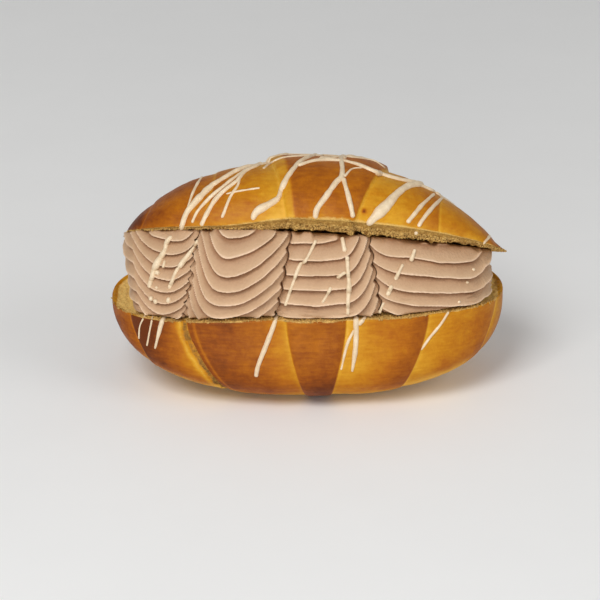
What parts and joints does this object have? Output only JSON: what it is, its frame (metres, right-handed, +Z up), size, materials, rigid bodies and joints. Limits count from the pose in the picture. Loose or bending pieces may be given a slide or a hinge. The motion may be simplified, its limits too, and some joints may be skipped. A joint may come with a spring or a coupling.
{
  "type": "cream-filled croissant",
  "caption": "Baked croissant sliced open at the front, its lid propped up by piped swirls of cream and the whole crossed by strands of icing.",
  "frame": {"origin": "centre of the croissant's outline at the level it stands on", "axes": "+X to the right along the length, +Y to the back, away from the open side, +Z up"},
  "size_m": [0.1612, 0.0858, 0.096],
  "materials": {
    "crust": "golden-brown baked crust with a soft egg-wash shine",
    "cream": "whipped cream, matt with a faint satin sheen"
  },
  "bodies": {
    "root": {"bottom_half": "crust", "top_half": "crust", "cream_swirl_1": "cream", "cream_swirl_2": "cream", "cream_swirl_3": "cream", "cream_swirl_4": "cream"}
  },
  "joints": []
}
